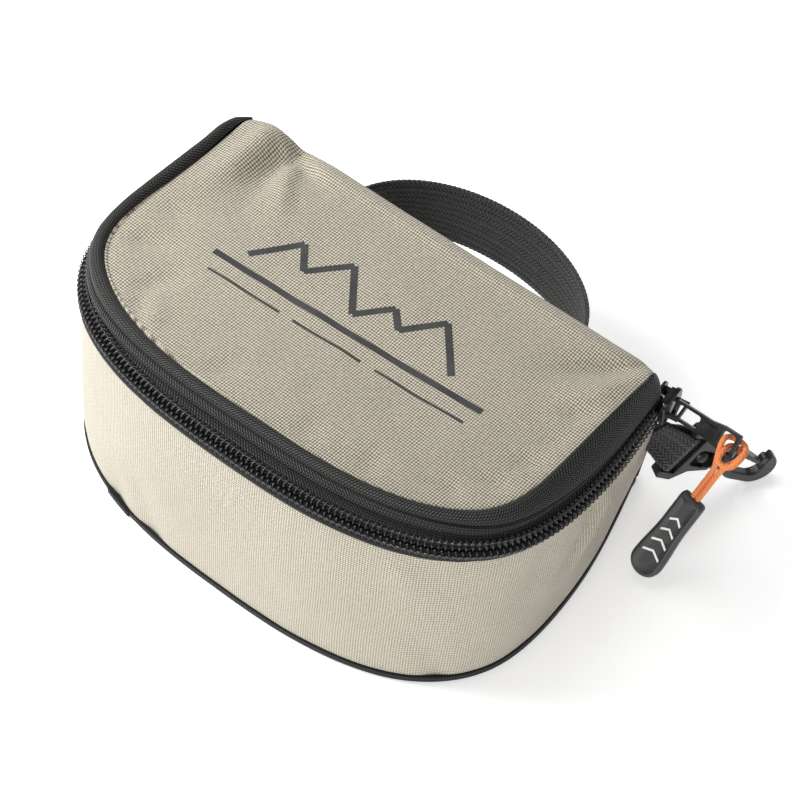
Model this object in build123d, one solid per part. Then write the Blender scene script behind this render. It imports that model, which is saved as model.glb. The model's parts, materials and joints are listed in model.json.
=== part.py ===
from build123d import *
import os
from math import cos, pi, radians, sin

# Carry case for a pair of micro crampons: a D-shaped zipped fabric case.
# Frame: X along the spine (the straight rear side), Y from the rounded front to the
# spine, Z up. Origin: on the underside of the base, in the middle of its length and
# depth. Sizes are millimetres.

# ---- The case ----
# A level is one D outline: the height at the hinge line, the rise towards the front,
# half widths at the rear and at the widest place, and where these lie along Y.
HINGE_Y = 65.5
BASE = dict(z=0.0, rise=0.0, rear_half=88.0, wide_half=100.0, rear=67.0, wide=-6.0, front=-69.0)
ZIP = dict(z=57.5, rise=0.15, rear_half=97.0, wide_half=103.0, rear=66.0, wide=8.0, front=-60.0)
TAPE_TOP = dict(z=65.3, rise=0.11)
LID = dict(z=73.4, rise=0.08, rear_half=93.5, wide_half=92.8, rear=64.5, wide=1.0, front=-44.5)
CORNER_RADIUS = 8.0
FRONT_POWER = 2.65
FRONT_STEPS = (22, 42, 60, 75)

FABRIC = 1.0
PADDING = 2.0
LINING = 0.5
PANEL = 1.2
BINDING_HEIGHT = 5.0
BINDING_PROUD = 1.4
SEAM_Y = 58.0

# ---- The zip ----
TAPE_HALF = 6.0
TAPE = 0.8
COIL_HALF = 1.3
COIL_PROUD = 1.4
COIL_GAP = 0.06
SLIDER_LENGTH, SLIDER_WIDTH = 14.0, 9.5
SLIDER_CENTRE = (96.6, 62.4, 58.0)
SLIDE_DIRECTION = Vector(0.12, -0.98, 0.147).normalized()
NOTCH = 0.4
NOTCH_TOP, NOTCH_DEPTH = 9.0, 4.8
HINGE_GAP = 1.5

# ---- Puller, cord and tag ----
PULLER_PIVOT = Vector(102.1, 63.0, 58.4)
PULLER_ACROSS = Vector(0, -0.63, -0.777).normalized()
PULLER_LENGTH, PULLER_WIDTH, PULLER_THICK = 25.5, 9.0, 1.8
CORD_DIAMETER = 2.1
TAG_DIRECTION = Vector(-0.2115, -0.4985, -0.841).normalized()
TAG_OFF, TAG_LENGTH, TAG_TOP, TAG_BULB, TAG_THICK = 27.0, 39.0, 10.2, 12.6, 4.4

# ---- The handle ----
HANDLE_HALF, HANDLE_LOW, HANDLE_HIGH = 55.0, 29.5, 36.5
HANDLE_Z = (25.0, 50.0)
WEBBING = 1.6
HANDLE_ROOT = 8.0
HANDLE_WALL = 66.6

# ---- The snap hook ----
HOOK_BAR = Vector(104.3, 64.0, 33.3)
BAR_DIRECTION = Vector(-0.33, -0.515, -0.79).normalized()
HOOK_WIDTH, HOOK_THICK = 27.0, 5.0
TAB_WIDTH = 18.0


def height(level, y, lift=0.0):
    """Height of a level's tilted plane at y, moved up by lift."""
    return level["z"] + level["rise"] * (HINGE_Y - y) + lift


def side_points(level, inset):
    """The right-hand side of a D outline, from the rear corner round to the front centre."""
    rear, wide = level["rear_half"] - inset, level["wide_half"] - inset
    start = level["rear"] - CORNER_RADIUS
    points = [(rear, start)]
    points.append((rear + (wide - rear) * sin(radians(45)), start + (level["wide"] - start) * 0.5))
    points.append((wide, level["wide"]))
    depth = level["wide"] - level["front"] - inset
    for step in FRONT_STEPS:
        x = wide * cos(radians(step)) ** (2 / FRONT_POWER)
        y = level["wide"] - depth * sin(radians(step)) ** (2 / FRONT_POWER)
        points.append((x, y))
    return points, (0.0, level["front"] + inset)


def outline(level, inset=0.0):
    """A D-shaped face in a level's plane."""

    def at(x, y):
        return Vector(x, y, height(level, y))

    right, front = side_points(level, inset)
    left = [(-x, y) for x, y in reversed(right)]
    run = Spline(*[at(*p) for p in right + [front] + left])
    rear = level["rear"] - inset
    radius = CORNER_RADIUS - inset
    half = level["rear_half"] - inset
    bend = radius * (1 - cos(radians(45)))
    back = Line(at(-half + radius, rear), at(half - radius, rear))
    corner_right = ThreePointArc(at(half - radius, rear), at(half - bend, rear - bend), at(*right[0]))
    corner_left = ThreePointArc(at(*left[-1]), at(-half + bend, rear - bend), at(-half + radius, rear))
    return Face(Wire([back, corner_right, run, corner_left]))


def body_of(low, high, inset):
    """The closed form between two levels, its sides moved in by inset."""
    return loft([outline(low, inset), outline(high, inset)], ruled=True)


def shell(low, high, outer, inner):
    """One layer of the walls between two levels, from inset outer to inset inner."""
    return body_of(low, high, outer) - body_of(low, high, inner)


def band(low, low_lift, high, high_lift, y_from=-90.0, y_to=90.0):
    """The space between two tilted planes, over a stretch of Y."""
    corners = [
        (0, y_from, height(low, y_from, low_lift)),
        (0, y_to, height(low, y_to, low_lift)),
        (0, y_to, height(high, y_to, high_lift)),
        (0, y_from, height(high, y_from, high_lift)),
    ]
    return extrude(make_face(Polyline(*corners, close=True)), 130, dir=(1, 0, 0), both=True)


def slider_notch():
    """The clear space at each rear corner in which the slider and the zip's ends lie."""
    block = band(ZIP, -TAPE_HALF, ZIP, NOTCH_TOP, SEAM_Y - 1.0, 80.0)
    return block - Box(2 * (SLIDER_CENTRE[0] - NOTCH_DEPTH), 400, 400)


def local(origin, along, across):
    """A plane whose X is along and whose Y is across."""
    return Plane(origin=origin, x_dir=along, z_dir=along.cross(across))


def softened(plate, radius, above=-1e3):
    """A flat plate with its face edges rounded, on the faces higher than above."""
    high = max(e.center().Z for e in plate.edges())
    low = min(e.center().Z for e in plate.edges())
    faces = [z for z in (low, high) if z > above]
    rims = [e for e in plate.edges() for z in faces if is_rim(e, z)]
    return fillet(rims, radius)


def is_rim(edge, z):
    """True for an edge that lies wholly in the plane at height z."""
    box = edge.bounding_box()
    return abs(box.min.Z - z) < 1e-4 and abs(box.max.Z - z) < 1e-4


def slab(plane, x_from, x_to, y_from, y_to, z_from, z_to):
    """A block given by its limits in a plane's own coordinates."""
    size = (x_to - x_from, y_to - y_from, z_to - z_from)
    middle = ((x_to + x_from) / 2, (y_to + y_from) / 2, (z_to + z_from) / 2)
    return plane * Pos(*middle) * Box(*size)


# ---------------------------------------------------------------- walls, base and lid


def base_parts():
    floor = PANEL + PADDING
    inside = FABRIC + PADDING + LINING
    return dict(
        base_panel=body_of(BASE, ZIP, 0.0) & band(BASE, 0.0, BASE, PANEL),
        base_padding=body_of(BASE, ZIP, FABRIC) & band(BASE, PANEL, BASE, floor),
        base_lining=body_of(BASE, ZIP, inside) & band(BASE, floor, BASE, floor + LINING),
        base_binding=shell(BASE, ZIP, -BINDING_PROUD, 0.0) & band(BASE, 0.0, BASE, BINDING_HEIGHT),
    )


def case_walls():
    fabric = shell(BASE, ZIP, 0.0, FABRIC) & band(BASE, PANEL, ZIP, -TAPE_HALF)
    rear_fabric = shell(BASE, ZIP, 0.0, FABRIC) & band(BASE, PANEL, ZIP, -HINGE_GAP)
    above_floor = PANEL + PADDING
    foam = shell(BASE, ZIP, FABRIC, FABRIC + PADDING) & band(BASE, above_floor, ZIP, -TAPE_HALF)
    inside = FABRIC + PADDING
    skin = shell(BASE, ZIP, inside, inside + LINING) & band(BASE, above_floor, ZIP, -TAPE_HALF)
    behind = band(BASE, -10, LID, 40, SEAM_Y, 90)
    before = band(BASE, -10, LID, 40, -90, SEAM_Y)
    notch = slider_notch()
    return dict(
        side_wall=fabric & before,
        rear_wall=(rear_fabric & behind) - notch,
        wall_padding=foam & before,
        rear_padding=foam & behind,
        wall_lining=skin & before,
        rear_lining=skin & behind,
    )


def lid_parts():
    underside = -(PADDING + 1.0)
    panel = extrude(outline(LID, 0.0), PANEL, dir=(0, 0, 1))
    foam = body_of(ZIP, LID, FABRIC) & band(LID, underside, LID, 0.0)
    lining = body_of(ZIP, LID, FABRIC + LINING) & band(LID, underside - LINING, LID, underside)
    strip = shell(ZIP, LID, 0.0, FABRIC)
    skin = shell(ZIP, LID, FABRIC, FABRIC + LINING)
    before = band(TAPE_TOP, 0.0, LID, 0.0, -90, SEAM_Y)
    behind = band(ZIP, HINGE_GAP, LID, 0.0, SEAM_Y, 90)
    inner = band(TAPE_TOP, 0.0, LID, underside)
    return dict(
        lid_panel=panel,
        lid_padding=foam,
        lid_lining=lining,
        lid_gusset=strip & before,
        lid_rear_panel=(strip & behind) - slider_notch(),
        gusset_lining=skin & inner,
    )


def spine_fold():
    """The short strip of fabric on the hinge line between the rear wall and the lid."""
    half = ZIP["rear_half"] - CORNER_RADIUS
    strip = Box(2 * half, FABRIC, 2 * (HINGE_GAP - 0.1))
    return Pos(0, HINGE_Y, ZIP["z"]) * strip


# ---------------------------------------------------------------- zip


def zip_parts():
    tape = shell(ZIP, LID, 0.0, TAPE)
    lower_tape = shell(BASE, ZIP, 0.0, TAPE)
    y_end = SLIDER_CENTRE[1] - SLIDER_LENGTH / 2 - NOTCH
    coils_low = shell(BASE, ZIP, -COIL_PROUD, 0.0)
    coils_high = shell(ZIP, LID, -COIL_PROUD, 0.0)
    last = SEAM_Y - 1.0
    return dict(
        zip_tape_lower=lower_tape & band(ZIP, -TAPE_HALF, ZIP, -COIL_GAP, -90, last),
        zip_tape_upper=tape & band(ZIP, COIL_GAP, TAPE_TOP, 0.0, -90, last),
        zip_coil_lower=coils_low & band(ZIP, -COIL_HALF, ZIP, -COIL_GAP, -90, y_end),
        zip_coil_upper=coils_high & band(ZIP, COIL_GAP, ZIP, COIL_HALF, -90, y_end),
        zip_end_stop=end_stop(y_end),
    )


def end_stop(y_end):
    """The moulded stop at the left-hand end of the coils, sewn to the case."""
    centre = Vector(-ZIP["rear_half"] - 1.6, y_end + 2.6, height(ZIP, y_end + 2.6))
    return Pos(*centre) * fillet(Box(2.2, 4.4, 4.6).edges(), 0.6)


def slider_plane():
    outward = Vector(0.99, 0.12, 0).normalized()
    across = outward.cross(SLIDE_DIRECTION)
    return local(Vector(*SLIDER_CENTRE), SLIDE_DIRECTION, across)


def slider_parts():
    place = slider_plane()
    half, wide = SLIDER_LENGTH / 2, SLIDER_WIDTH / 2
    plate = Rectangle(SLIDER_LENGTH, SLIDER_WIDTH)
    plate = fillet(plate.vertices(), 2.6)
    top = place * Pos(0, 0, 2.3) * softened(extrude(plate, 1.7), 0.5, above=1.0)
    under = place * Pos(0, 0, -2.9) * extrude(plate, 1.0)
    flanges = [slab(place, -half + 3, half - 3, s * wide - 0.6, s * wide + 0.6, 1.0, 2.8) for s in (-1, 1)]
    post = slab(place, -half + 0.4, -half + 2.6, -1.4, 1.4, -2.2, 2.8)
    body = top + under + post
    for flange in flanges:
        body += flange
    arch = slab(place, -4.8, 4.8, -0.9, 0.9, 4.0, 8.4)
    arch -= slab(place, -3.6, 3.6, -2.0, 2.0, 3.9, 7.4)
    return dict(slider_body=body, slider_bail=arch)


# ---------------------------------------------------------------- puller, cord and tag


def puller():
    place = local(PULLER_PIVOT, Vector(1, 0, 0), PULLER_ACROSS)
    root, tip = PULLER_WIDTH * 0.8, PULLER_WIDTH
    outer = Polygon((-1.0, -root / 2), (14, -root / 2), (19, -tip / 2), (26.4, -tip / 2),
                    (26.4, tip / 2), (19, tip / 2), (14, root / 2), (-1.0, root / 2), align=None)
    outer = fillet(outer.vertices(), 0.8)
    slot = Pos(5.3, 0) * RectangleRounded(9.2, root - 2.4, 1.0)
    eye = Pos(22.1, 0) * RectangleRounded(5.0, tip - 2.6, 1.2)
    plate = softened(extrude(outer - slot - eye, PULLER_THICK / 2, both=True), 0.3)
    ridge = Pos(14.6, 0, 0) * Box(6.0, root - 3.2, PULLER_THICK + 0.9)
    return place * (plate + ridge)


def tag_frame():
    """Tag axes: along its length, across its flat side, and out of its flat side."""
    along = TAG_DIRECTION
    across = (Vector(1, 0, 0) - along * along.X).normalized()
    return along, across, along.cross(across)


def tip():
    return PULLER_PIVOT + Vector(PULLER_LENGTH, 0, 0)


def knot_point(x, down, out):
    """A point near the puller's tip bar: along the puller, down along the bar, towards the front."""
    front = PULLER_ACROSS.cross(Vector(1, 0, 0))
    return tip() + Vector(x, 0, 0) + PULLER_ACROSS * down + front * out


def cord_route():
    """The doubled cord: up one strand, twice round the puller's tip bar, and down the other."""
    along, across, _ = tag_frame()
    strand = CORD_DIAMETER * 0.55
    mouth = tip() + along * (TAG_OFF - 0.2)
    middle = tip() + along * 15.5
    return [
        mouth + across * strand,
        middle + across * strand,
        knot_point(0.4, 8.8, -0.2),
        knot_point(3.7, 3.8, 2.7),
        knot_point(2.9, 1.3, -2.9),
        knot_point(-2.6, 1.2, -2.9),
        knot_point(-2.4, 2.4, 3.4),
        knot_point(-2.2, 6.4, 5.4),
        knot_point(2.8, 7.2, 5.0),
        knot_point(5.2, 1.8, 3.4),
        knot_point(3.2, -1.5, -2.9),
        knot_point(-4.3, -1.3, -2.9),
        knot_point(-4.6, -0.9, 2.8),
        knot_point(-4.4, 7.4, 2.0),
        middle - across * strand,
        mouth - across * strand,
    ]


def corner_radii(points):
    """For each corner, 0.45 of the shorter run over the tangent of half the turn."""
    radii = []
    for before, here, after in zip(points, points[1:], points[2:]):
        turn = radians((here - before).get_angle(after - here))
        shorter = min((here - before).length, (after - here).length)
        radii.append(0.45 * shorter * cos(turn / 2) / sin(turn / 2))
    return radii


def pull_cord():
    points = cord_route()
    radii = corner_radii(points)
    path = FilletPolyline(*points, radius=radii)
    start = Plane(origin=points[0], z_dir=points[1] - points[0])
    tube = sweep(start * Circle(CORD_DIAMETER / 2), path=path)
    area = pi * CORD_DIAMETER**2 / 4
    print("pull_cord radii", [round(r, 1) for r in radii])
    print("pull_cord length", round(path.length, 1), "volume ratio", round(tube.volume / area / path.length, 3))
    return tube


def rubber_tag():
    along, across, _ = tag_frame()
    place = local(tip() + along * TAG_OFF, along, across)
    neck, bulb = TAG_TOP / 2, TAG_BULB / 2
    centre = TAG_LENGTH - bulb
    side = Polygon((0, -neck), (TAG_LENGTH * 0.55, -neck), (centre, -bulb), (centre, bulb),
                   (TAG_LENGTH * 0.55, neck), (0, neck), align=None)
    face = side + Pos(centre, 0) * Circle(bulb)
    tag = extrude(face, TAG_THICK / 2, both=True)
    return place * tag


# ---------------------------------------------------------------- handle


def handle_band(rise, z):
    """The handle's plan outline at one height: the space between two half ellipses."""
    outer = Ellipse(HANDLE_HALF, rise)
    inner = Ellipse(HANDLE_HALF - WEBBING, rise - WEBBING)
    ring = outer - inner
    upper = Pos(0, rise) * Rectangle(4 * HANDLE_HALF, 2 * rise)
    return Plane(origin=(0, HANDLE_WALL, z)) * (ring & upper)


def handle_parts():
    low = handle_band(HANDLE_LOW, HANDLE_Z[0]).faces()[0]
    high = handle_band(HANDLE_HIGH, HANDLE_Z[1]).faces()[0]
    whole = loft([low, high], ruled=True)
    root = Pos(0, HANDLE_WALL + HANDLE_ROOT / 2 - 1, sum(HANDLE_Z) / 2) * Box(150, HANDLE_ROOT + 2, 40)
    middle = sum(HANDLE_Z) / 2
    ends, tacks = [], []
    for side in (-1, 1):
        flat = Pos(side * (HANDLE_HALF + 5.0), HANDLE_WALL + WEBBING / 2, middle)
        half_space = Pos(side * 100, HANDLE_WALL, middle) * Box(199, 60, 60)
        ends.append((whole & root & half_space) + flat * Box(13.2, WEBBING, HANDLE_Z[1] - HANDLE_Z[0]))
        tacks.append(flat * Pos(1.0, WEBBING / 2 + 0.3, 0) * Box(8.0, 0.6, 19.0))
    return dict(
        handle_webbing=whole - root,
        handle_ends=Compound(children=ends),
        handle_bartacks=Compound(children=tacks),
    )


# ---------------------------------------------------------------- snap hook


def hook_axis():
    """The hook hangs from its bar: the lowest direction at right angles to the bar."""
    down = Vector(0, 0, -1)
    return (down - BAR_DIRECTION * down.dot(BAR_DIRECTION)).normalized()


def hook_plane():
    return local(HOOK_BAR, hook_axis(), BAR_DIRECTION)


def hook_tab():
    """Webbing sewn into the rear corner seam, folded round the hook's bar and back."""
    place = hook_plane()
    ring = Cylinder(3.1, TAB_WIDTH) - Cylinder(1.9, TAB_WIDTH)
    loop = place * Rot(90, 0, 0) * ring
    near = Plane(origin=place.from_local_coords(Vector(-2.3, 0, 0)), x_dir=BAR_DIRECTION, z_dir=-hook_axis())
    far = Plane(origin=(95.6, 59.4, 40.5), x_dir=(0, 0, -1), z_dir=(-0.85, -0.52, 0))
    strap = loft([near * Rectangle(TAB_WIDTH, 2.4), far * Rectangle(TAB_WIDTH, 2.4)], ruled=True)
    return loop + strap


def hook_base():
    half = HOOK_WIDTH / 2
    outer = Polygon((-1.6, -half), (5.6, -half), (10.0, -7.6), (18.0, -5.0),
                    (18.0, 5.0), (10.0, 7.6), (5.6, half), (-1.6, half), align=None)
    outer = fillet(outer.vertices(), 1.2)
    slot = Pos(3.35, 0) * Rectangle(3.7, TAB_WIDTH + 2.0)
    window = Pos(11.2, 0) * RectangleRounded(7.6, 8.4, 1.5)
    plate = softened(extrude(outer - slot - window, HOOK_THICK / 2, both=True), 0.5)
    bar_room = Box(3.6, TAB_WIDTH + 2.0, 2 * HOOK_THICK)
    bar = Rot(90, 0, 0) * Cylinder(1.5, TAB_WIDTH + 3.0)
    collar = Pos(16.5, 0, 0) * Rot(0, 90, 0) * Cylinder(4.4, 3.0)
    bore = Pos(16.0, 0, 0) * Rot(0, 90, 0) * Cylinder(1.95, 6.0)
    return hook_plane() * ((plate - bar_room) + bar + collar - bore)


def snap_hook():
    shank = Pos(17.0, 0, 0) * Rot(0, 90, 0) * Cylinder(1.9, 7.4)
    head = Pos(11.6, 0, 0) * Sphere(3.0)
    flange = Pos(21.6, 0, 0) * Rot(0, 90, 0) * fillet(Cylinder(4.4, 6.4).edges().filter_by(GeomType.CIRCLE), 0.9)
    outer = Pos(36.4, 0) * SlotOverall(24.0, 16.0)
    inner = Pos(35.0, 0) * SlotOverall(15.0, 8.0)
    ring = softened(extrude(outer - inner, 2.0, both=True), 0.9)
    ring -= Pos(34.0, -7.0, 0) * Box(15.4, 8.0, 10.0)
    nose = softened(extrude(Pos(41.4, -4.5) * RectangleRounded(4.4, 3.4, 1.0), 1.8, both=True), 0.6)
    return hook_plane() * (shank + head + flange + ring + nose)


def hook_gate():
    """The springy strip that closes the hook from inside the nose."""
    gate = Polygon((27.0, -6.4), (28.6, -6.8), (38.8, -3.6), (38.6, -2.2), (27.0, -4.6), align=None)
    return hook_plane() * extrude(gate, 1.6, both=True)


# ---------------------------------------------------------------- writing the parts


def all_parts():
    parts = {}
    for group in (base_parts(), case_walls(), lid_parts(), zip_parts(), slider_parts(), handle_parts()):
        parts.update(group)
    parts["spine_fold"] = spine_fold()
    parts["puller"] = puller()
    parts["pull_cord"] = pull_cord()
    parts["rubber_tag"] = rubber_tag()
    parts["hook_tab"] = hook_tab()
    parts["hook_base"] = hook_base()
    parts["snap_hook"] = snap_hook()
    parts["hook_gate"] = hook_gate()
    return parts


os.makedirs("parts", exist_ok=True)
for name, shape in all_parts().items():
    export_step(shape, f"parts/{name}.step")
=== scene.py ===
import json
import math

import bpy
import numpy as np
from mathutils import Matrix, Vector
from mathutils.bvhtree import BVHTree


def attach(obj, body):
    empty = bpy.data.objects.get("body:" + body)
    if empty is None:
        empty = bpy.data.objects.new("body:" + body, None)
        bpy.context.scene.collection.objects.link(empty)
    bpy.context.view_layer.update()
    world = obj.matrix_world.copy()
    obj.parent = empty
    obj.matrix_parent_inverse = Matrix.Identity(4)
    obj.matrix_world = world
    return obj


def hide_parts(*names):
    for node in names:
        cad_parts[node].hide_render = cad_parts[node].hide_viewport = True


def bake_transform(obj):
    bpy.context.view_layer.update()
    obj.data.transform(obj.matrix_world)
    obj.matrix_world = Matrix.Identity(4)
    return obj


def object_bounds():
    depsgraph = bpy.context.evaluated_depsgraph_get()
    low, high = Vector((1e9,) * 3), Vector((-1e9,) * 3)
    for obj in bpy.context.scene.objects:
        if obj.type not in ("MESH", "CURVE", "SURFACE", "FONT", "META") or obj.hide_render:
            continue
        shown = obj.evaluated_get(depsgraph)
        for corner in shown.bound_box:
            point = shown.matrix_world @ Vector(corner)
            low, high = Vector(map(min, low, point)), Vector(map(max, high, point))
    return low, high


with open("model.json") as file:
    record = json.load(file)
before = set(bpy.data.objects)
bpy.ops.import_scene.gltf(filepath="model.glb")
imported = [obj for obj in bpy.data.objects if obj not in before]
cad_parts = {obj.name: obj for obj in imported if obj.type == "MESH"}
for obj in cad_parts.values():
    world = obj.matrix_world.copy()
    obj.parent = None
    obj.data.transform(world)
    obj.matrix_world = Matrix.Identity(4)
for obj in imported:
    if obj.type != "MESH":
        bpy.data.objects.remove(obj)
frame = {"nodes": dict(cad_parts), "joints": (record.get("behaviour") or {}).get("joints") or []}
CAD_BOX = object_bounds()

# Lengths below are millimetres unless a name says otherwise; meshes are made in metres.
MM = 0.001
NODES = frame["nodes"]

# ---------------------------------------------------------------- the D outlines

HINGE_Y = 65.5
BASE = dict(z=0.0, rise=0.0, rear_half=88.0, wide_half=100.0, rear=67.0, wide=-6.0, front=-69.0)
ZIP = dict(z=57.5, rise=0.15, rear_half=97.0, wide_half=103.0, rear=66.0, wide=8.0, front=-60.0)
LID = dict(z=73.4, rise=0.08, rear_half=93.5, wide_half=92.8, rear=64.5, wide=1.0, front=-44.5)
CORNER_RADIUS = 8.0
FRONT_POWER = 2.65              # above 2, so the front is squarer than an ellipse
FRONT_STEPS = (22, 42, 60, 75)  # degrees from the widest place to the front
LID_CENTRE = np.array([0.0, 14.0])
PANEL = 1.2                     # thickness of the lid's panel

# Every row round the case has the same columns, counted from the rear centre to the right.
HALF_BACK = 34                  # on half of the straight rear side
ARC = 8                         # round a rear corner
PER_RUN = 9                     # in each run of the spline from one corner to the other
RUNS = 14
SIDE_START = HALF_BACK + ARC
SIDE_END = SIDE_START + PER_RUN * RUNS
COLUMNS = SIDE_END + ARC + HALF_BACK


def smooth(x, low, high):
    """0 below low, 1 above high, and an even turn between them."""
    t = np.clip((np.asarray(x, float) - low) / (high - low), 0, 1)
    return t * t * (3 - 2 * t)


def unit(rows):
    """One vector, or each row of several, scaled to length 1."""
    return rows / np.linalg.norm(rows, axis=-1, keepdims=True)


def natural_spline(points, per_run):
    """A natural cubic spline through points, sampled evenly within each of its runs."""
    points = np.array(points, float)
    n = len(points)
    h = np.linalg.norm(np.diff(points, axis=0), axis=1)
    matrix = np.eye(n)
    right = np.zeros((n, points.shape[1]))
    for i in range(1, n - 1):
        matrix[i, i - 1:i + 2] = h[i - 1], 2 * (h[i - 1] + h[i]), h[i]
        right[i] = 6 * ((points[i + 1] - points[i]) / h[i] - (points[i] - points[i - 1]) / h[i - 1])
    second = np.linalg.solve(matrix, right)
    out = []
    for i in range(n - 1):
        for k in range(per_run + (i == n - 2)):
            b = k / per_run
            a = 1 - b
            curve = ((a**3 - a) * second[i] + (b**3 - b) * second[i + 1]) * h[i] ** 2 / 6
            out.append(a * points[i] + b * points[i + 1] + curve)
    return np.array(out)


def side_points(level):
    """Points down the right side, from the rear corner to the middle of the front."""
    rear, wide = level["rear_half"], level["wide_half"]
    start = level["rear"] - CORNER_RADIUS
    between = (rear + (wide - rear) * math.sqrt(0.5), (start + level["wide"]) / 2)
    points = [(rear, start), between, (wide, level["wide"])]
    for step in map(math.radians, FRONT_STEPS):
        x = wide * math.cos(step) ** (2 / FRONT_POWER)
        y = level["wide"] - (level["wide"] - level["front"]) * math.sin(step) ** (2 / FRONT_POWER)
        points.append((x, y))
    return points + [(0.0, level["front"])]


def flat_ring(level):
    """The outline from the rear centre, round the right side, the front and the left side."""
    right = side_points(level)
    run = natural_spline(right + [(-x, y) for x, y in right[-2::-1]], PER_RUN)
    half = level["rear_half"] - CORNER_RADIUS
    back = [(half * k / HALF_BACK, level["rear"]) for k in range(HALF_BACK)]
    arc = []
    for k in range(ARC):
        turn = math.radians(90 * k / ARC)
        arc.append((half + CORNER_RADIUS * math.sin(turn),
                    level["rear"] - CORNER_RADIUS * (1 - math.cos(turn))))
    tail = [(-x, y) for x, y in reversed(back[1:] + arc)]
    return np.vstack([back, arc, run, tail])


def plane_height(level, y):
    return level["z"] + level["rise"] * (HINGE_Y - y)


RINGS = {}
for key, level in (("base", BASE), ("zip", ZIP), ("lid", LID)):
    flat = flat_ring(level)
    RINGS[key] = np.column_stack([flat, plane_height(level, flat[:, 1])])


def along(rows):
    """Unit tangents round a closed row."""
    return unit(np.roll(rows, -1, axis=0) - np.roll(rows, 1, axis=0))


def outward(rows):
    """Level unit normals round a closed row."""
    t = along(rows * [1, 1, 0])
    return np.column_stack([-t[:, 1], t[:, 0], np.zeros(len(t))])


def on_side(low, high, t, off=0.0):
    """A row t of the way up from one outline to another, moved out by off."""
    a, b = RINGS[low], RINGS[high]
    t = np.broadcast_to(np.asarray(t, float), (len(a),))[:, None]
    p = a + (b - a) * t
    normal = unit(np.cross(unit(b - a), along(p)))
    return p + normal * np.broadcast_to(np.asarray(off, float), (len(a),))[:, None]


def run_length(rows):
    """The distance along an open row, from its first point."""
    steps = np.linalg.norm(np.diff(rows, axis=0), axis=1)
    return np.concatenate([[0], np.cumsum(steps)])


GIRTH = run_length(RINGS["zip"])
COLUMN = np.arange(COLUMNS)
TO_REAR = np.minimum(COLUMN, COLUMNS - COLUMN)          # columns from the rear centre
REAR = 1 - smooth(TO_REAR, HALF_BACK + 1, HALF_BACK + ARC)   # 1 on the straight rear side
LID_DEPTH = np.linalg.norm(RINGS["zip"] - RINGS["lid"], axis=1)
WALL_DEPTH = np.linalg.norm(RINGS["zip"] - RINGS["base"], axis=1)

# ---------------------------------------------------------------- even noise


def waves(seed, x, y, size, count=9):
    """Smooth seeded ripples of about the given size, between about -1 and 1."""
    rng = np.random.default_rng(seed)
    total = np.zeros_like(np.asarray(x, float))
    for _ in range(count):
        angle, phase = rng.uniform(0, 2 * math.pi, 2)
        length = size * rng.uniform(0.7, 1.6)
        total += np.sin(2 * math.pi * (x * math.cos(angle) + y * math.sin(angle)) / length + phase)
    return total / math.sqrt(count) / 1.4


def crease(x, y, start, end, width, depth):
    """A soft fold along a line, deepest at its start and fading out at its end."""
    a, b = np.array(start, float), np.array(end, float)
    run = b - a
    length = np.linalg.norm(run)
    t = ((x - a[0]) * run[0] + (y - a[1]) * run[1]) / length**2
    side = ((y - a[1]) * run[0] - (x - a[0]) * run[1]) / length
    spread = width * (1 + 0.8 * np.clip(t, 0, 1))
    fade = smooth(t, -0.22, 0.05) * (1 - smooth(t, 0.35, 1.05))
    return depth * fade * np.exp(-(side / spread) ** 2)


# Folds of the lid: start, end, width and depth, a positive depth being a ridge.
LID_FOLDS = (
    ((-71.0, 63), (-75.5, 24), 3.8, -4.4),
    ((-66.5, 60), (-58, 34), 4.4, -1.9),
    ((-82.0, 64), (-85, 12), 5.2, 2.6),
    ((-73, 58), (-54, 30), 2.4, 1.7),
    ((-71, 61), (-44, 46), 2.6, -1.5),
    ((-70, 56), (-66, 16), 2.2, -1.3),
    ((-66, 55), (-48, 20), 2.2, 1.0),
    ((-71, -34), (-58, -8), 2.8, -1.7),
    ((-57, -46), (-67, -27), 2.3, -3.2),
    ((-63, -44), (-72, -22), 2.4, 1.9),
    ((-51, -46), (-57, -24), 2.6, 1.5),
    ((-85, -12), (-68, -3), 2.6, -1.5),
    ((-88, 6), (-74, 8), 2.4, -1.0),
    ((90, 62), (58, 34), 3.6, -3.0),
    ((93, 52), (72, 26), 3.4, 2.0),
    ((93, 34), (77, 25), 1.9, -1.5),
    ((93, 20), (78, 10), 1.9, -1.7),
    ((92, 6), (75, -4), 2.0, -1.7),
    ((87, -12), (70, -15), 2.0, -1.4),
    ((78, -28), (63, -22), 2.2, -1.2),
    ((48, -42), (38, -24), 2.8, -0.9),
    ((22, -45), (15, -24), 3.0, -1.0),
    ((-24, -45), (-17, -22), 3.0, -1.0),
)


def new_object(name, data):
    """A new object that is in the scene."""
    obj = bpy.data.objects.new(name, data)
    bpy.context.scene.collection.objects.link(obj)
    return obj


def evaluated(obj):
    """An object as its modifiers leave it."""
    return obj.evaluated_get(bpy.context.evaluated_depsgraph_get())


def grid_faces(rows, columns, closed=False):
    """Quads of a grid of points stored row by row, wound to face up from row to row."""
    faces = []
    for j in range(rows - 1):
        for i in range(columns if closed else columns - 1):
            k = (i + 1) % columns
            faces.append((j * columns + i, j * columns + k, (j + 1) * columns + k, (j + 1) * columns + i))
    return faces


SHEET_SPACING = 4.0
SAG_LIMIT = 1.6                 # the most that the settled sheet may move the lid's cloth
MOMENTS = 24                    # frames of the simulation


def folded(lift, x, y, folds):
    """Adds a table of folds to a height."""
    for start, end, width, depth in folds:
        lift = lift + crease(x, y, start, end, width, depth)
    return lift


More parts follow.
